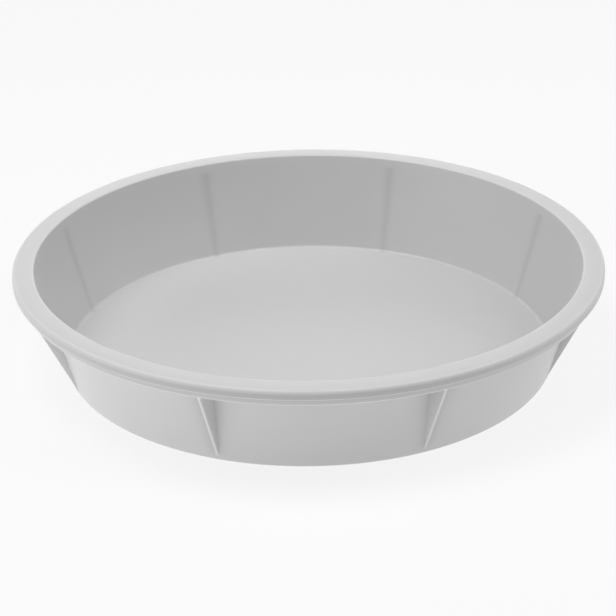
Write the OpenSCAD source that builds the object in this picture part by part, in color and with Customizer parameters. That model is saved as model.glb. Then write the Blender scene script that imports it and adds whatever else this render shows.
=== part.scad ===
// Round silicone cake mould with a wide stepped rim and eight gussets under it.
// The real mould is one moulding; each region of it is a solid of its own here, and they meet face to face.
// The origin is the middle of the underside, and +Z points up, towards the rim.

/* [Cake space] */
// Width of the cake space at the top of the rim, the nominal size of the mould
cake_top_d = 260; // [220:1:320]
// Depth of the cake space, from the top of the rim to the floor
cake_depth = 47.8; // [35:0.2:70]
// Angle at which the side wall flares out from upright
wall_flare = 15.8; // [5:0.1:25]

/* [Floor and side wall] */
// Thickness of the floor
floor_t = 1.2; // [0.8:0.1:3]
// Thickness of the side wall, square to it
wall_t = 1.2; // [0.8:0.1:3]
// Radius that rounds the floor up into the inside of the side wall
floor_edge_r = 1.5; // [0.4:0.1:3]
// Radius that rounds the underside into the side wall
base_edge_r = 1.5; // [0.4:0.1:2]
// Width of the side wall's foot, the ring of floor that belongs to the wall
foot_w = 3; // [2.5:0.1:6]

/* [Rim flange] */
// Width of the rim flange, outwards from the cake space
rim_w = 10; // [7:0.1:16]
// Thickness of the rim flange
rim_t = 4.5; // [3.5:0.1:8]
// Radius of the flange's outer top edge
rim_outer_r = 2; // [0.4:0.1:2.5]
// Radius of the flange's inner top edge
rim_inner_r = 1; // [0.4:0.1:2]
// Radius of the flange's lower edge
rim_lower_r = 0.7; // [0.2:0.1:0.9]

/* [Stiffening ring] */
// Height of the ring under the flange
ring_h = 3.6; // [2:0.1:6]
// Step from the flange's outer face in to the top of the ring
ring_step = 1.8; // [0.5:0.1:2.5]
// Angle at which the ring's outer face leans in towards the base
ring_draft = 10; // [0:1:20]
// Radius of the ring's lower edge
ring_edge_r = 1; // [0.2:0.1:1.2]

/* [Gussets] */
// Number of gussets around the mould
gusset_count = 8; // [3:1:16]
// Thickness of a gusset's rounded outer edge
gusset_t = 1.6; // [1:0.1:3]
// Width of a gusset's root under the ring, taken in the middle of the side wall
gusset_root_w = 9; // [4:0.5:14]
// Step from the ring's lower edge in to the top corner of a gusset
gusset_inset = 0.9; // [0.9:0.1:2]
// Height above the underside at which a gusset runs out into the side wall
gusset_foot_h = 2.6; // [2:0.1:8]

/* [Hidden] */

silicone = [0.80, 0.80, 0.80];
mould_h = cake_depth + floor_t;
flange_z = mould_h - rim_t;
ring_z = flange_z - ring_h;
wall_slope = tan(wall_flare);
cake_floor_r = cake_top_d / 2 - cake_depth * wall_slope;
wall_across = wall_t * norm([1, wall_slope]);
floor_disc_r = cake_floor_r - foot_w;
rim_r = cake_top_d / 2 + rim_w;
ring_top_r = rim_r - ring_step;
ring_low_r = ring_top_r - ring_h * tan(ring_draft);
gusset_top_r = ring_low_r - gusset_inset;
gusset_pitch = 360 / gusset_count;
// How far a cutting shape runs past what it cuts
overrun = 1;
// Straight pieces in each rounded edge
arc_steps = 6;
$fn = 180;

// Radius of the cake space at height z
function inner_r(z) = cake_floor_r + (z - floor_t) * wall_slope;

// Radius of the side wall's outer face at height z
function outer_r(z) = inner_r(z) + wall_across;

function unit(v) = v / norm(v);

// Points that round the corner between two edges of an outline
function round_corner(before, corner, after, r) =
    let (
        back = unit(before - corner),
        on = unit(after - corner),
        half = acos(back * on) / 2,
        centre = corner + unit(back + on) * r / sin(half),
        first = corner + back * r / tan(half) - centre,
        last = corner + on * r / tan(half) - centre,
        start = atan2(first[1], first[0]),
        swing = atan2(first[0] * last[1] - first[1] * last[0], first * last)
    )
    [
        for (i = [0:arc_steps])
            let (angle = start + swing * i / arc_steps)
            centre + r * [cos(angle), sin(angle)]
    ];

// Flat disc that the cake rests on
module base_floor() {
    color(silicone) cylinder(h = floor_t, r = floor_disc_r);
}

// Flared wall with its foot, from the underside up to the flange
module side_wall() {
    foot = [floor_disc_r, 0];
    base_corner = [outer_r(0), 0];
    outer_top = [outer_r(flange_z), flange_z];
    inner_top = [inner_r(flange_z), flange_z];
    floor_corner = [inner_r(floor_t), floor_t];
    foot_top = [floor_disc_r, floor_t];
    color(silicone)
        rotate_extrude()
            polygon(concat(
                [foot],
                round_corner(foot, base_corner, outer_top, base_edge_r),
                [outer_top, inner_top],
                round_corner(inner_top, floor_corner, foot_top, floor_edge_r),
                [foot_top]
            ));
}

// Flat-topped flange with rounded edges, which a hand or a rack takes hold of
module rim_flange() {
    inner_low = [inner_r(flange_z), flange_z];
    inner_top = [inner_r(mould_h), mould_h];
    outer_top = [rim_r, mould_h];
    outer_low = [rim_r, flange_z];
    color(silicone)
        rotate_extrude()
            polygon(concat(
                [inner_low],
                round_corner(inner_low, inner_top, outer_top, rim_inner_r),
                round_corner(inner_top, outer_top, outer_low, rim_outer_r),
                round_corner(outer_top, outer_low, inner_low, rim_lower_r)
            ));
}

// Second, narrower step of the rim, between the flange and the gussets
module rim_stiffening_ring() {
    outer_top = [ring_top_r, flange_z];
    outer_low = [ring_low_r, ring_z];
    inner_low = [outer_r(ring_z), ring_z];
    color(silicone)
        rotate_extrude()
            polygon(concat(
                [outer_top],
                round_corner(outer_top, outer_low, inner_low, ring_edge_r),
                [inner_low, [outer_r(flange_z), flange_z]]
            ));
}

// The space that the side wall takes up, with all that lies inside it
module wall_core() {
    below = -overrun;
    above = mould_h + overrun;
    rotate_extrude()
        polygon([[0, below], [outer_r(below), below], [outer_r(above), above], [0, above]]);
}

// Level outline of a gusset at height z: a wedge with its root in the wall and its outer edge rounded
module gusset_outline(z) {
    share = (z - gusset_foot_h) / (ring_z - gusset_foot_h);
    nose_r = gusset_t / 2;
    nose_at = outer_r(gusset_foot_h) + share * (gusset_top_r - outer_r(gusset_foot_h)) - nose_r;
    root_at = outer_r(z) - wall_across / 2;
    root_half = nose_r + share * (gusset_root_w - gusset_t) / 2;
    hull() {
        translate([nose_at, 0]) circle(r = nose_r, $fn = 4 * arc_steps);
        polygon([[nose_at, 0], [root_at, root_half], [root_at, -root_half]]);
    }
}

// Triangular web that carries the rim, from the ring down to where it runs out into the wall
module gusset(i) {
    color(silicone)
        rotate([0, 0, gusset_pitch * (i - 1 / 2)])
            difference() {
                hull() {
                    linear_extrude(height = overrun) gusset_outline(0);
                    translate([0, 0, ring_z]) linear_extrude(height = overrun) gusset_outline(ring_z);
                }
                wall_core();
                translate([0, 0, ring_z])
                    cylinder(h = mould_h, r = rim_r);
            }
}

base_floor();
side_wall();
rim_flange();
rim_stiffening_ring();
for (i = [1:gusset_count])
    gusset(i);
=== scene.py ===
# %% [markdown]
# # A round silicone cake mould
#
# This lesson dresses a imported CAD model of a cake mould: a shallow pan of light grey silicone with a
# wide stepped rim and eight slim gussets under it. The real mould is one moulding of a single soft
# material, so there is nowhere to hide. All the charm is in true curves, softly rounded edges, a dry
# satin skin and quiet studio light.

# %% Load the frame
import math
import bmesh
import bpy
from mathutils import Matrix, Vector


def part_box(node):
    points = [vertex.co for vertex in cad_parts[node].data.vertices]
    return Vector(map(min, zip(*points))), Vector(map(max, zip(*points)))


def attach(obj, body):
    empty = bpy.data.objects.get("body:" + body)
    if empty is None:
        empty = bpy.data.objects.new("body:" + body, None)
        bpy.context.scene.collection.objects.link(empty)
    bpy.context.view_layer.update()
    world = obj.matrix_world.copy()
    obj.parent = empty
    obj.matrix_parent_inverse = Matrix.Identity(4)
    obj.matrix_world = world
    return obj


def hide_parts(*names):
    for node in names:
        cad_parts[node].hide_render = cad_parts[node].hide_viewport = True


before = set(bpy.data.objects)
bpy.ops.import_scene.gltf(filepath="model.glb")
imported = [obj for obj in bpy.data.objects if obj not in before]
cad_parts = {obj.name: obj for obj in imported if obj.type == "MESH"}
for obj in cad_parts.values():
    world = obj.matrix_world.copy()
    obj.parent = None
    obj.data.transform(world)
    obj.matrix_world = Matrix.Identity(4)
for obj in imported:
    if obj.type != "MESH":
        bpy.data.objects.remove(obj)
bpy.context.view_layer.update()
print("nodes in the frame:", ", ".join(sorted(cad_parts)))

# %% [markdown]
# The imported model says where every region of the moulding lies, so most sizes are read from its boxes.
# A box can't tell how thick a cone's wall is or how round an edge, so those sizes are written out once
# in metres. The wall's own sizes are printed beside the radius in the frame, which they have to give.

# %% Sizes of the mould
FLOOR_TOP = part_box("base_floor")[1].z
DISC_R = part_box("base_floor")[1].x
MOULD_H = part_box("rim_flange")[1].z
FLANGE_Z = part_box("rim_flange")[0].z
RIM_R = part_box("rim_flange")[1].x
RING_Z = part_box("rim_stiffening_ring")[0].z
RING_TOP_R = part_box("rim_stiffening_ring")[1].x

CAKE_TOP_R = 0.130
WALL_FLARE = math.radians(15.8)
WALL_T = 0.0012
FLOOR_EDGE_R = 0.0015
BASE_EDGE_R = 0.0015
RIM_OUTER_R = 0.002
RIM_INNER_R = 0.001
RIM_LOWER_R = 0.0007
RING_DRAFT = math.radians(10)
RING_EDGE_R = 0.001

WALL_SLOPE = math.tan(WALL_FLARE)
WALL_ACROSS = WALL_T * math.hypot(1, WALL_SLOPE)
CAKE_FLOOR_R = CAKE_TOP_R - (MOULD_H - FLOOR_TOP) * WALL_SLOPE
RING_LOW_R = RING_TOP_R - (FLANGE_Z - RING_Z) * math.tan(RING_DRAFT)


def inner_r(z):
    """Radius of the cake space at height z."""
    return CAKE_FLOOR_R + (z - FLOOR_TOP) * WALL_SLOPE


def outer_r(z):
    """Radius of the wall's outer face at height z."""
    return inner_r(z) + WALL_ACROSS


wall_top_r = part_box("side_wall")[1].x
print("outer radius of the wall's top:", round(outer_r(FLANGE_Z), 5))
print("and in the frame:", round(wall_top_r, 5))

# %% [markdown]
# Geometry Nodes and shader nodes share the same Math node, so one small class serves both. A Wire is
# an output socket that can be added, multiplied and so on, and each sum adds its Math node to the
# tree. Everything else comes from Graph.add, which takes a node's type, its settings and its inputs.

# %% Node helpers
def pick(sockets, key):
    """A socket by its place in the list, or else by its identifier or its name."""
    if isinstance(key, int):
        return sockets[key]
    return next(s for s in sockets if s.enabled and key in (s.identifier, s.name))


class Wire:
    """An output socket on which sums can be written."""

    def __init__(self, graph, socket):
        self.graph = graph
        self.socket = socket

    def __add__(self, other):
        return self.graph.math("ADD", self, other)

    def __radd__(self, other):
        return self.graph.math("ADD", other, self)

    def __sub__(self, other):
        return self.graph.math("SUBTRACT", self, other)

    def __rsub__(self, other):
        return self.graph.math("SUBTRACT", other, self)

    def __mul__(self, other):
        return self.graph.math("MULTIPLY", self, other)

    def __truediv__(self, other):
        return self.graph.math("DIVIDE", self, other)


class Graph:
    """Builds the nodes of one tree."""

    def __init__(self, tree):
        self.tree = tree
        self.tree.nodes.clear()

    def add(self, kind, settings=None, inputs=None, output=0):
        """Adds a node, sets it up, feeds its inputs and returns one of its outputs."""
        node = self.tree.nodes.new(kind)
        for name, value in (settings or {}).items():
            setattr(node, name, value)
        for key, value in (inputs or {}).items():
            socket = pick(node.inputs, key)
            if isinstance(value, Wire):
                self.tree.links.new(value.socket, socket)
            else:
                socket.default_value = value
        return Wire(self, pick(node.outputs, output)) if node.outputs else None

    def math(self, operation, *values):
        """A Math node's result."""
        return self.add("ShaderNodeMath", {"operation": operation}, dict(enumerate(values)))

    def part(self, vector, axis):
        """One coordinate of a vector."""
        return self.add("ShaderNodeSeparateXYZ", {}, {0: vector}, axis)

    def place(self, radius, turn, height):
        """The place at a radius, an angle and a height."""
        return self.add("ShaderNodeCombineXYZ", {}, {
            "X": radius * self.math("COSINE", turn), "Y": radius * self.math("SINE", turn), "Z": height})


def geometry_graph(name, sizes):
    """A Geometry Nodes tree with named inputs, and a dictionary of them as wires."""
    tree = bpy.data.node_groups.new(name, "GeometryNodeTree")
    graph = Graph(tree)
    kinds = {"Geometry": "NodeSocketGeometry", "Material": "NodeSocketMaterial"}
    for title in ["Geometry", *sizes, "Material"]:
        kind = kinds.get(title, "NodeSocketFloat")
        tree.interface.new_socket(title, in_out="INPUT", socket_type=kind)
    tree.interface.new_socket("Geometry", in_out="OUTPUT", socket_type="NodeSocketGeometry")
    entry = tree.nodes.new("NodeGroupInput")
    wires = {s.name: Wire(graph, s) for s in entry.outputs if s.name}
    return graph, wires


def grown(name, mesh, tree, values):
    """Runs a Geometry Nodes tree on a mesh and returns an object with the result as a plain mesh."""
    seed = bpy.data.objects.new(name + "_seed", mesh)
    bpy.context.scene.collection.objects.link(seed)
    modifier = seed.modifiers.new("shape", "NODES")
    modifier.node_group = tree
    for item in tree.interface.items_tree:
        if item.in_out == "INPUT" and item.name in values:
            modifier[item.identifier] = values[item.name]
    depsgraph = bpy.context.evaluated_depsgraph_get()
    result = bpy.data.meshes.new_from_object(seed.evaluated_get(depsgraph))
    result.name = name
    bpy.data.objects.remove(seed)
    piece = bpy.data.objects.new(name, result)
    bpy.context.scene.collection.objects.link(piece)
    return piece


print("node helpers ready")

# %% [markdown]
# A moulding tool is turned on a lathe, so each round region is described by its section: the outline
# that a cut through the axis would show, in radius and height. The corners are rounded by real arcs.
# Each point also carries notes for the finish. "edge" says how near it is to the middle of a rounded
# edge, where a painted highlight makes the silicone paler. Another note says how much painted shade a
# gusset lays there, which on the wall also sets how far the skin sinks, and "spread" how wide its
# mark is. A last one marks the sides of the thick rim, which painted shade makes darker than the wall.

# %% Sections with rounded corners
ARC_STEPS = 8
PLAIN_NOTES = {"edge": 1.0, "web": 0.0, "spread": 0.0025}


def ramp(value, start, end):
    """Rises from 0 to 1 as the value goes from start to end, and stays there."""
    return min(max((value - start) / (end - start), 0.0), 1.0)


def arc(before, corner, after, radius):
    """Points that round a corner, each with its share of the way round."""
    back = (before - corner).normalized()
    on = (after - corner).normalized()
    half = back.angle(on) / 2
    centre = corner + (back + on).normalized() * radius / math.sin(half)
    first = corner + back * radius / math.tan(half) - centre
    last = corner + on * radius / math.tan(half) - centre
    swing = math.atan2(first.x * last.y - first.y * last.x, first.dot(last))
    shares = [step / ARC_STEPS for step in range(ARC_STEPS + 1)]
    return [(centre + Matrix.Rotation(swing * share, 2) @ first, share) for share in shares]


def outline(corners):
    """A closed outline from (across, up, radius) corners and their own notes, as points with notes."""
    spots = [Vector(corner[:2]) for corner in corners]
    rows = []
    for i, (across, up, radius, *own) in enumerate(corners):
        spot = spots[i]
        notes = {**PLAIN_NOTES, **(own[0] if own else {})}
        rounded = arc(spots[i - 1], spot, spots[(i + 1) % len(spots)], radius) if radius else [(spot, 0.0)]
        for point, share in rounded:
            # The painted highlight is strongest in the middle of each rounded edge.
            rows.append((point, {**notes, "edge": notes["edge"] * math.sqrt(math.sin(math.pi * share))}))
    return rows


def section_mesh(name, corners, deep):
    """The outline as loose vertices in the XZ plane, in order, with its notes as attributes."""
    rows = [(point, {**notes, "deep": deep(point)}) for point, notes in outline(corners)]
    mesh = bpy.data.meshes.new(name)
    mesh.from_pydata([(point.x, 0, point.y) for point, notes in rows], [], [])
    for title in ("edge", "web", "spread", "deep"):
        attribute = mesh.attributes.new(title, "FLOAT", "POINT")
        attribute.data.foreach_set("value", [notes[title] for point, notes in rows])
    return mesh


print("arcs have", ARC_STEPS, "steps")

# %% [markdown]
# Both shapes are swept from a section: the lathe repeats it round the axis, and a gusset repeats it
# down the wall. So their trees share three helpers. The first lays a flat grid, with one line of
# vertices for each step of the sweep, and lets each vertex look up its own point of the section. The
# second stores the notes and moves the vertices to their places. The third ends a tree.

# %% Sweep helpers
def note(graph, name):
    """A note that a section's points carry."""
    return graph.add("GeometryNodeInputNamedAttribute", {"data_type": "FLOAT"}, {"Name": name})


def swept_grid(graph, section, steps):
    """A grid, the step that each vertex lies on, and a look-up of values on its point of the section."""
    count = graph.add("GeometryNodeAttributeDomainSize", {}, {"Geometry": section}, "Point Count")
    # One vertex more than the section has points closes each line, and doubles are merged later
    line = count + 1
    grid = graph.add("GeometryNodeMeshGrid", {}, {"Vertices X": steps + 1, "Vertices Y": line}, "Mesh")
    index = graph.add("GeometryNodeInputIndex")
    step = graph.math("FLOOR", (index + 0.5) / line)
    which = graph.math("MODULO", index - step * line, count)

    def looked_up(kind, value):
        settings = {"data_type": kind, "domain": "POINT"}
        inputs = {"Geometry": section, "Value": value, "Index": which}
        return graph.add("GeometryNodeSampleIndex", settings, inputs)

    return grid, step, looked_up


def laid_out(graph, grid, notes, place, merge):
    """The grid with its notes stored, its vertices in their places and its doubles merged."""
    # The notes are stored while the grid's own numbering still holds, and its vertices move last
    geometry = grid
    for title, value in notes.items():
        geometry = graph.add("GeometryNodeStoreNamedAttribute", {"data_type": "FLOAT", "domain": "POINT"},
                             {"Geometry": geometry, "Name": title, "Value": value})
    geometry = graph.add("GeometryNodeSetPosition", {}, {"Geometry": geometry, "Position": place})
    return graph.add("GeometryNodeMergeByDistance", {}, {"Geometry": geometry, "Distance": merge})


def handed_out(graph, geometry, material):
    """Ends a tree: its geometry is made real and takes its material."""
    geometry = graph.add("GeometryNodeRealizeInstances", {}, {"Geometry": geometry})
    geometry = graph.add("GeometryNodeSetMaterial", {}, {"Geometry": geometry, "Material": material})
    graph.add("NodeGroupOutput", {}, {0: geometry})
    return graph.tree


print("sweep helpers ready")

# %% [markdown]
# The lathe is a Geometry Nodes tree whose sweep has one step for each facet round the axis. Every
# vertex takes its own point of the section and is turned to its own angle, which is all that a lathe
# does. The tree also draws the faint upright marks that the gussets leave in the wall, where the skin
# sinks a little as it cools. It stores the painted shade that darkens each mark, and the wider bands
# of painted shade beside the gussets' roots outside, because a rule that knows the angle can place
# them exactly.

# %% Lathe tree
FULL_TURN = 2 * math.pi
GUSSETS = sum(name.startswith("gusset_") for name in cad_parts)
PITCH = FULL_TURN / GUSSETS
FIRST_GUSSET = PITCH / 2


def lathe_tree():
    graph, given = geometry_graph("lathe", ["Facets", "Sink Depth", "Merge"])
    grid, column, looked_up = swept_grid(graph, given["Geometry"], given["Facets"])
    spot = looked_up("FLOAT_VECTOR", graph.add("GeometryNodeInputPosition"))
    across, up = (graph.part(spot, axis) for axis in "XZ")
    edge, web, spread, deep = (
        looked_up("FLOAT", note(graph, name)) for name in ("edge", "web", "spread", "deep"))

    turn = column / given["Facets"] * FULL_TURN
    from_gusset = graph.math("WRAP", turn - FIRST_GUSSET, PITCH / 2, -PITCH / 2) * across / spread
    # The mark sinks the skin and carries painted shade, both strongest over each gusset.
    mark = graph.math("EXPONENT", 0 - from_gusset * from_gusset) * web
    place = graph.place(across + mark * given["Sink Depth"], turn, up)
    notes = {"edge": edge, "web": mark, "deep": deep}
    return handed_out(graph, laid_out(graph, grid, notes, place, given["Merge"]), given["Material"])


lathe = lathe_tree()
print("the lathe tree has", len(lathe.nodes), "nodes, and the mould has", GUSSETS, "gussets")

# %% [markdown]
# Silicone is a mineral rubber. Fresh from an eroded steel tool it has a fine dry grain, so its shine
# is wide and weak. It is a little cloudy. A painted highlight makes it paler along the rounded edges,
# and painted shade makes it darker beside and over the gussets and on the sides of the rim. All of
# that is worked out from the object's own coordinates and from the stored notes, so it stays on the
# mould from every side.

# %% Silicone
SILICONE_GREY = 0.62
SILICONE_IOR = 1.41
GRAIN_SIZE = 0.0005
CLOUD_SIZE = 0.045
RIPPLE_SIZE = 0.012
GRAIN_TONE = 0.03
CLOUD_TONE = 0.035
EDGE_HIGHLIGHT_AMOUNT = 0.12
GUSSET_SHADE_AMOUNT = 0.08
RIM_SHADE_AMOUNT = 0.14
ROUGHNESS = 0.46
GRAIN_ROUGHNESS = 0.08
CLOUD_ROUGHNESS = 0.1
RELIEF_HEIGHT = 0.00004
RELIEF_STRENGTH = 0.35
GRAIN_RELIEF = 0.5
SHEEN = 0.08
SHEEN_ROUGHNESS = 0.4


def silicone_material():
    material = bpy.data.materials.new("light_grey_silicone")
    material.use_nodes = True
    graph = Graph(material.node_tree)
    place = graph.add("ShaderNodeTexCoord", {}, {}, "Object")

    def noise(size, detail):
        """A noise that swings round 0."""
        inputs = {"Vector": place, "Scale": 1 / size, "Detail": detail}
        return graph.add("ShaderNodeTexNoise", {}, inputs, 0) - 0.5

    def stored(name):
        """A note that the mesh carries."""
        return graph.add("ShaderNodeAttribute", {"attribute_name": name}, {}, "Fac")

    cloud = noise(CLOUD_SIZE, detail=3)
    grain = noise(GRAIN_SIZE, detail=2)
    ripple = noise(RIPPLE_SIZE, detail=2)
    tone_and_painted_light = 1 + cloud * CLOUD_TONE + grain * GRAIN_TONE
    # Painted highlight along rounded edges; painted shade by the gussets and on the rim's sides.
    tone_and_painted_light = tone_and_painted_light + stored("edge") * EDGE_HIGHLIGHT_AMOUNT - stored("web") * GUSSET_SHADE_AMOUNT - stored("deep") * RIM_SHADE_AMOUNT
    colour = graph.add(
        "ShaderNodeVectorMath", {"operation": "SCALE"}, {0: (SILICONE_GREY,) * 3, "Scale": tone_and_painted_light})
    relief = graph.add("ShaderNodeBump", {}, {
        "Strength": RELIEF_STRENGTH, "Distance": RELIEF_HEIGHT, "Height": grain * GRAIN_RELIEF + ripple})
    shader = graph.add("ShaderNodeBsdfPrincipled", {}, {
        "Base Color": colour,
        "Roughness": ROUGHNESS + cloud * CLOUD_ROUGHNESS + grain * GRAIN_ROUGHNESS,
        "Normal": relief,
        "IOR": SILICONE_IOR,
        "Sheen Weight": SHEEN,
        "Sheen Roughness": SHEEN_ROUGHNESS})
    graph.add("ShaderNodeOutputMaterial", {}, {"Surface": shader})
    return material


silicone = silicone_material()
print("silicone material:", len(silicone.node_tree.nodes), "nodes")

# %% [markdown]
# A finished piece is closed, with its faces pointing outwards, smooth shading over its curves and
# crisp breaks where two regions meet face to face. It rides on the mould's one body and stands for
# its CAD nodes, which are hidden.

# %% Finishing a piece
SHARP_ANGLE = math.radians(40)
SLIVER = 1e-7
LATHE_MERGE = 1e-6


def finished(piece, *nodes):
    """Tidies a piece's mesh and ties it to the frame."""
    mesh = bmesh.new()
    mesh.from_mesh(piece.data)
    bmesh.ops.dissolve_degenerate(mesh, dist=SLIVER, edges=mesh.edges)
    # Where the lathe's facets close into a pole, they leave a bare edge along the axis
    bmesh.ops.delete(mesh, geom=[edge for edge in mesh.edges if edge.is_wire], context="EDGES")
    bmesh.ops.recalc_face_normals(mesh, faces=mesh.faces)
    volume = mesh.calc_volume(signed=True)
    open_edges = sum(not edge.is_manifold for edge in mesh.edges)
    for face in mesh.faces:
        face.smooth = True
    for edge in mesh.edges:
        edge.smooth = edge.is_manifold and edge.calc_face_angle(0) < SHARP_ANGLE
    mesh.to_mesh(piece.data)
    faces = len(mesh.faces)
    mesh.free()
    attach(piece, "root")
    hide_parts(*nodes)
    print(piece.name, "has", faces, "faces,", open_edges, "open edges and", round(volume * 1e6, 2), "cm3")


def no_painted_rim_shade(spot):
    """The thin regions get no painted shade."""
    return 0.0


def turned(name, corners, facets, *nodes, sink_depth=0.0, deep=no_painted_rim_shade):
    """A round region of the mould, turned from its section."""
    values = {"Facets": float(facets), "Sink Depth": sink_depth, "Merge": LATHE_MERGE, "Material": silicone}
    section = section_mesh(name + "_section", corners, deep)
    finished(grown(name, section, lathe, values), *nodes)


print("faces that meet at more than", round(math.degrees(SHARP_ANGLE)), "degrees get a crisp edge")

# %% [markdown]
# The floor is a plain disc. Its section runs up to the axis, where the lathe's facets close into a
# pole. The side wall carries the rounded foot and flares up to the flange. It has the most facets,
# because the faint marks of the gussets run up its inner face, sunk a little and darkened by painted
# shade, and wider bands of painted shade lie beside their roots outside. Each mark is given by its
# strength and its width, first down the outside and then up the inside.

# %% Floor and side wall
FACETS = 256
MARK_FACETS = 768
SINK_DEPTH = 0.00008
ROOT_LOW_Z = 0.006
# Strength of the painted shade beside the gussets' roots outside and over their marks inside; on the wall
# the same note also sets how far the skin sinks.
ROOT_SHADE_LOW = 1.7
ROOT_SHADE_HIGH = 3.2
OUTSIDE_FOOT = {"spread": 0.003}
OUTSIDE_LOW = {"web": ROOT_SHADE_LOW, "spread": 0.004}
OUTSIDE_HIGH = {"web": ROOT_SHADE_HIGH, "spread": 0.007}
INSIDE_HIGH = {"web": 1.4, "spread": 0.0028}
# The floor's rounded corner gets only a weak painted highlight.
INSIDE_LOW = {"web": 1.1, "spread": 0.0016, "edge": 0.2}

turned("cake_floor", [
    (0, FLOOR_TOP, 0), (0, 0, 0), (DISC_R, 0, 0), (DISC_R, FLOOR_TOP, 0)], FACETS, "base_floor")
turned("flared_wall", [
    (DISC_R, FLOOR_TOP, 0),
    (DISC_R, 0, 0),
    (outer_r(0), 0, BASE_EDGE_R, OUTSIDE_FOOT),
    (outer_r(ROOT_LOW_Z), ROOT_LOW_Z, 0, OUTSIDE_LOW),
    (outer_r(FLANGE_Z), FLANGE_Z, 0, OUTSIDE_HIGH),
    (inner_r(FLANGE_Z), FLANGE_Z, 0, INSIDE_HIGH),
    (inner_r(FLOOR_TOP), FLOOR_TOP, FLOOR_EDGE_R, INSIDE_LOW),
], MARK_FACETS, "side_wall", sink_depth=SINK_DEPTH)

# %% [markdown]
# The rim has two steps. The upper one is the flat flange with its soft outer edge. The lower one is
# the stiffening ring, set in from the flange so that a thin shadow line runs round between them.

# %% Rim
# Below the top, where the painted shade on the rim's sides begins and where it is full, and how much of it
# the ring's foot loses.
SHADE_STARTS_BELOW_TOP = 0.0003
SHADE_FULL_BELOW_TOP = 0.0008
FOOT_SHADE_LESS = 0.6
# How strongly a painted highlight pales each rounded edge of the rim.
FLANGE_LOWER_HIGHLIGHT = {"edge": 1.6}
FLANGE_UPPER_HIGHLIGHT = {"edge": 1.2}
RING_LOWER_HIGHLIGHT = {"edge": 1.4}


def painted_rim_shade(spot):
    """How much painted shade darkens the rim's sides: none on top, most between the steps, little at the
    foot.
    """
    if spot.x < RING_LOW_R:
        return 0.0
    below_top = ramp(spot.y, MOULD_H - SHADE_STARTS_BELOW_TOP, MOULD_H - SHADE_FULL_BELOW_TOP)
    return below_top - FOOT_SHADE_LESS * ramp(spot.y, FLANGE_Z, RING_Z)


turned("top_flange", [
    (inner_r(FLANGE_Z), FLANGE_Z, 0),
    (RIM_R, FLANGE_Z, RIM_LOWER_R, FLANGE_LOWER_HIGHLIGHT),
    (RIM_R, MOULD_H, RIM_OUTER_R, FLANGE_UPPER_HIGHLIGHT),
    (inner_r(MOULD_H), MOULD_H, RIM_INNER_R, FLANGE_UPPER_HIGHLIGHT)], FACETS, "rim_flange", deep=painted_rim_shade)
turned("lower_ring", [
    (outer_r(FLANGE_Z), FLANGE_Z, 0),
    (outer_r(RING_Z), RING_Z, 0),
    (RING_LOW_R, RING_Z, RING_EDGE_R, RING_LOWER_HIGHLIGHT),
    (RING_TOP_R, FLANGE_Z, 0)], FACETS, "rim_stiffening_ring", deep=painted_rim_shade)

# %% [markdown]
# A gusset is a slim wedge: at each height its cross-section is broad at the wall, narrows as it runs
# out, and ends in a full round. It is broader where it is deeper, so the section is stored in shares:
# how far out a point lies in the gusset's depth, and how much of the root's spread it has. Each
# height then scales both for itself.

# %% Gusset section
GUSSET_T = 0.0016
GUSSET_ROOT_W = 0.009
GUSSET_INSET = 0.0009
GUSSET_FOOT_H = 0.0026
TUCK = 0.0003
# Share of the root's painted shade that the gusset's flanks keep.
GUSSET_SIDE_SHADE = 0.5

gusset_top_r = RING_LOW_R - GUSSET_INSET
gusset_depth = gusset_top_r - outer_r(RING_Z)
half_t = GUSSET_T / 2
nose_share = half_t / gusset_depth
flank = gusset_depth - half_t
# The root's width is given in the middle of the wall, and the gusset shows from the outer face on
root_spread = (GUSSET_ROOT_W / 2 - half_t) * flank / (flank + WALL_ACROSS / 2)


def half_section():
    """One side, wall to nose: (share out, tuck, side), share of the spread, painted highlight, painted
    shade.
    """
    # The painted shade is full at the root, falls to the flank's share along the flank, and is gone at the
    # nose.
    rows = [((0, -TUCK, half_t), 1, 0, 1)]
    for step in range(ARC_STEPS):
        way = step / ARC_STEPS
        rows.append((((1 - nose_share) * way, 0, half_t), 1 - way, 0, 1 + (GUSSET_SIDE_SHADE - 1) * way))
    # The painted highlight lies on the nose's round.
    for step in range(ARC_STEPS + 1):
        turn = math.pi / 2 * step / ARC_STEPS
        out = 1 - nose_share * (1 - math.sin(turn))
        rows.append(((out, 0, half_t * math.cos(turn)), 0, math.sin(turn), GUSSET_SIDE_SHADE * (1 - math.sin(turn))))
    return rows


def gusset_section():
    """The whole section as loose vertices with their notes."""
    near = half_section()
    far = [((out, tuck, -side), -broad, edge, web)
           for (out, tuck, side), broad, edge, web in reversed(near[:-1])]
    rows = near + far
    mesh = bpy.data.meshes.new("gusset_section")
    mesh.from_pydata([row[0] for row in rows], [], [])
    for column, title in enumerate(("broad", "edge", "web"), 1):
        notes = mesh.attributes.new(title, "FLOAT", "POINT")
        notes.data.foreach_set("value", [row[column] for row in rows])
    return mesh


print("under the ring a gusset is", round(gusset_depth * 1000, 2), "mm deep and",
      round((half_t + root_spread) * 2000, 2), "mm broad at its root")

# %% [markdown]
# The gusset's sweep has one step for each row of heights. Each row takes its depth and its breadth
# from the straight lines between the ring and the foot, and spreads a little just under the ring,
# where the tool's edge was rounded too. Eight copies are then set round the mould.

# %% Gusset tree
GUSSET_ROWS = 32
GUSSET_MERGE = 1e-7
RING_FILLET = 0.0008
NOSE_HIGHLIGHT_FOOT = 0.4
NOSE_HIGHLIGHT_TOP = 1.2


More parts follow.
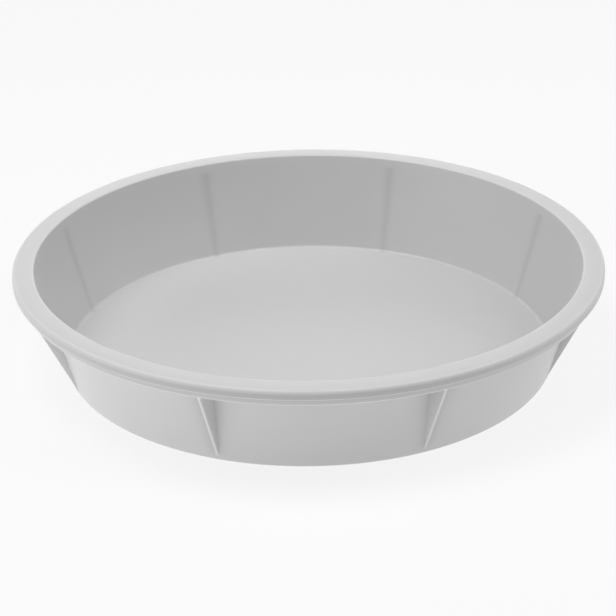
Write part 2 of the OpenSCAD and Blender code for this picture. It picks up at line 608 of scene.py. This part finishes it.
def gusset_tree():
    sizes = ["Count", "Rows", "Top Height", "Foot Height", "Depth", "Root Spread", "Wall Radius",
             "Wall Slope", "Fillet", "Merge"]
    graph, given = geometry_graph("gussets", sizes)
    grid, row, looked_up = swept_grid(graph, given["Geometry"], given["Rows"])
    spot = looked_up("FLOAT_VECTOR", graph.add("GeometryNodeInputPosition"))
    share_out, tuck, own_side = (graph.part(spot, axis) for axis in "XYZ")
    broad, edge, web = (looked_up("FLOAT", note(graph, name)) for name in ("broad", "edge", "web"))

    # Reach is 1 under the ring and 0 at the foot
    reach = 1 - row / given["Rows"]
    height = given["Foot Height"] + reach * (given["Top Height"] - given["Foot Height"])
    out = share_out * given["Depth"] * reach + tuck
    side = own_side + broad * given["Root Spread"] * reach
    near_ring = graph.math("MAXIMUM", 1 - (given["Top Height"] - height) / given["Fillet"], 0.0)
    spread = given["Fillet"] * (1 - graph.math("SQRT", 1 - near_ring * near_ring))
    radius = given["Wall Radius"] + height * given["Wall Slope"] + out
    place = graph.place(radius, (side + spread * graph.math("SIGN", side)) / radius, height)

    # Painted shade grows from the foot towards the ring.
    web = web * (ROOT_SHADE_LOW + reach * (ROOT_SHADE_HIGH - ROOT_SHADE_LOW))
    # The painted highlight on the nose fades towards the foot.
    edge = edge * (NOSE_HIGHLIGHT_FOOT + reach * (NOSE_HIGHLIGHT_TOP - NOSE_HIGHLIGHT_FOOT))
    one_gusset = laid_out(graph, grid, {"edge": edge, "web": web}, place, given["Merge"])
    spots = graph.add("GeometryNodePoints", {}, {"Count": given["Count"]})
    turn = graph.add("GeometryNodeInputIndex") * PITCH + FIRST_GUSSET
    spin = graph.add("ShaderNodeCombineXYZ", {}, {"Z": turn})
    copies = graph.add("GeometryNodeInstanceOnPoints", {}, {
        "Points": spots, "Instance": one_gusset, "Rotation": spin})
    return handed_out(graph, copies, given["Material"])


gusset_shape = gusset_tree()
print("the gusset tree has", len(gusset_shape.nodes), "nodes")

# %% [markdown]
# The grid leaves each gusset open at its two ends, so they are capped before the piece is finished.
# All eight are one piece here, because they are alike and ride on the same body.

# %% Gussets
gussets = grown("gusset_webs", gusset_section(), gusset_shape, {
    "Count": float(GUSSETS), "Rows": float(GUSSET_ROWS), "Top Height": RING_Z, "Foot Height": GUSSET_FOOT_H,
    "Depth": gusset_depth, "Root Spread": root_spread, "Wall Radius": outer_r(0),
    "Wall Slope": WALL_SLOPE, "Fillet": RING_FILLET, "Merge": GUSSET_MERGE, "Material": silicone})
caps = bmesh.new()
caps.from_mesh(gussets.data)
open_ends = [edge for edge in caps.edges if edge.is_boundary]
bmesh.ops.holes_fill(caps, edges=open_ends, sides=0)
caps.to_mesh(gussets.data)
caps.free()
finished(gussets, *[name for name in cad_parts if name.startswith("gusset_")])

# %% [markdown]
# The mould stands on a light table, a sheet of milky acrylic lit from below, as small products are
# often shown. It throws light up against the wall and the rim's lower edges, most from the left and
# less from the right, the front and the back. A camera ray sees it mostly as white paper, with a
# share of its true shading left in, so that the mould still has its soft shadow to stand on. The
# surroundings are white to the viewer and in reflections only.

# %% Table and surroundings
TABLE_SIZE = 12.0
PAPER_WHITE = 0.9
PAPER_SHARE = 0.8
ACRYLIC_GREY = 0.3
FRONT_GLOW = 0.79
SIDE_GLOW = 0.95
LEFT_EXTRA = 0.12


def seen(graph, *kinds):
    """1 for a ray of any of the kinds that are named."""
    rays = [graph.add("ShaderNodeLightPath", {}, {}, kind) for kind in kinds]
    total = rays[0]
    for ray in rays[1:]:
        total = graph.math("MAXIMUM", total, ray)
    return total


def table_material():
    material = bpy.data.materials.new("white_table")
    material.use_nodes = True
    graph = Graph(material.node_tree)
    camera_ray = seen(graph, "Is Camera Ray")
    grey = ACRYLIC_GREY + camera_ray * (PAPER_WHITE - ACRYLIC_GREY)
    colour = graph.add("ShaderNodeCombineXYZ", {}, {"X": grey, "Y": grey, "Z": grey})
    paper = graph.add("ShaderNodeBsdfDiffuse", {}, {"Color": colour})
    place = graph.add("ShaderNodeTexCoord", {}, {}, "Object")
    x, y = (graph.part(place, axis) for axis in "XY")
    reach = graph.math("SQRT", x * x + y * y)
    side, front = x / reach, y / reach
    strength = front * front * FRONT_GLOW + side * side * (SIDE_GLOW - side * LEFT_EXTRA)
    glow = graph.add("ShaderNodeEmission", {}, {"Strength": (1 - camera_ray) * strength})
    lit_paper = graph.add("ShaderNodeAddShader", {}, {0: paper, 1: glow})
    white = graph.add("ShaderNodeEmission", {}, {"Strength": 1.0})
    mixed = graph.add("ShaderNodeMixShader", {}, {0: camera_ray * PAPER_SHARE, 1: lit_paper, 2: white})
    graph.add("ShaderNodeOutputMaterial", {}, {"Surface": mixed})
    return material


def white_table():
    half = TABLE_SIZE / 2
    mesh = bpy.data.meshes.new("table")
    corners = [(-half, -half, 0), (half, -half, 0), (half, half, 0), (-half, half, 0)]
    mesh.from_pydata(corners, [], [(0, 1, 2, 3)])
    table = bpy.data.objects.new("table", mesh)
    bpy.context.scene.collection.objects.link(table)
    mesh.materials.append(table_material())


def white_world():
    world = bpy.data.worlds.new("white_surroundings")
    bpy.context.scene.world = world
    world.use_nodes = True
    graph = Graph(world.node_tree)
    strength = seen(graph, "Is Camera Ray", "Is Glossy Ray", "Is Transmission Ray")
    backdrop = graph.add("ShaderNodeBackground", {}, {"Color": (1, 1, 1, 1), "Strength": strength})
    graph.add("ShaderNodeOutputWorld", {}, {"Surface": backdrop})


white_table()
white_world()
print("table", TABLE_SIZE, "m wide, its own light up to", round(SIDE_GLOW + LEFT_EXTRA, 2))

# %% [markdown]
# The light is a plain product set: large soft lamps placed by the compass and by their height above
# the table, all aimed at the mould. Azimuth 0 is the viewer's side, and 90 is the right. A lamp's row
# gives its azimuth and elevation in degrees, its width and height in metres and its power in watts.

# %% Lamps
LAMP_DISTANCE = 1.6
LAMPS = {
    "upper_left": (-90, 68, 1.0, 1.0, 13.6),
    "low_left": (-67, 15, 0.8, 0.8, 5.1),
    "front": (0, 38, 1.0, 1.0, 2.7),
    "upper_right": (90, 68, 1.0, 1.0, 5.2),
    "right": (90, 38, 1.0, 1.0, 7.0),
    "low_back": (180, 15, 0.8, 0.8, 3.7),
}


def soft_lamp(name, azimuth, elevation, width, height, power):
    """A soft lamp that looks at the middle of the mould."""
    turn, rise = math.radians(azimuth), math.radians(elevation)
    away = Vector((math.sin(turn) * math.cos(rise), -math.cos(turn) * math.cos(rise), math.sin(rise)))
    light = bpy.data.lights.new(name, "AREA")
    light.shape = "RECTANGLE"
    light.size = width
    light.size_y = height
    light.energy = power
    lamp = bpy.data.objects.new(name, light)
    lamp.location = Vector((0, 0, MOULD_H / 2)) + away * LAMP_DISTANCE
    lamp.rotation_mode = "QUATERNION"
    lamp.rotation_quaternion = (-away).to_track_quat("-Z", "Y")
    bpy.context.scene.collection.objects.link(lamp)


for lamp_name, lamp_plan in LAMPS.items():
    soft_lamp(lamp_name, *lamp_plan)
print(len(LAMPS), "lamps,", round(sum(plan[-1] for plan in LAMPS.values()), 1), "W in all")

# %% [markdown]
# The photograph was taken from a little above, about a metre away, with a long lens. The camera's
# place was worked out from the rim, the floor and the base, which are circles of known size. Its
# elevation and its roll are in radians, its distance and its aim in metres, its sensor in millimetres.

# %% Camera
PHOTO_PIXELS = 616
FOCAL_PIXELS = 1947.4
SENSOR = 36.0
VIEW_AZIMUTH = math.radians(-2.40)
VIEW_ELEVATION = 0.44591
ROLL = 0.01346
DISTANCE = 0.92694
AIM_RIGHT = -0.00046
AIM_UP = -0.02594


def photo_camera():
    data = bpy.data.cameras.new("photo_camera")
    data.sensor_width = SENSOR
    data.lens = SENSOR * FOCAL_PIXELS / PHOTO_PIXELS
    camera = bpy.data.objects.new("photo_camera", data)
    forward = Vector((0, math.cos(VIEW_ELEVATION), -math.sin(VIEW_ELEVATION)))
    right = Vector((1, 0, 0))
    up = right.cross(forward)
    place = right * AIM_RIGHT + up * AIM_UP - forward * DISTANCE + Vector((0, 0, MOULD_H))
    tilted_right = right * math.cos(ROLL) - up * math.sin(ROLL)
    tilted_up = right * math.sin(ROLL) + up * math.cos(ROLL)
    axes = Matrix((tilted_right, tilted_up, -forward)).transposed().to_4x4()
    camera.matrix_world = Matrix.Rotation(VIEW_AZIMUTH, 4, "Z") @ Matrix.Translation(place) @ axes
    bpy.context.scene.collection.objects.link(camera)
    bpy.context.scene.camera = camera
    return camera


camera = photo_camera()
print("camera at", [round(x, 4) for x in camera.matrix_world.translation])
print("lens", round(camera.data.lens, 1), "mm")

# %% [markdown]
# Standard keeps colours as they are written.

# %% Finish
bpy.context.scene.view_settings.view_transform = "Standard"
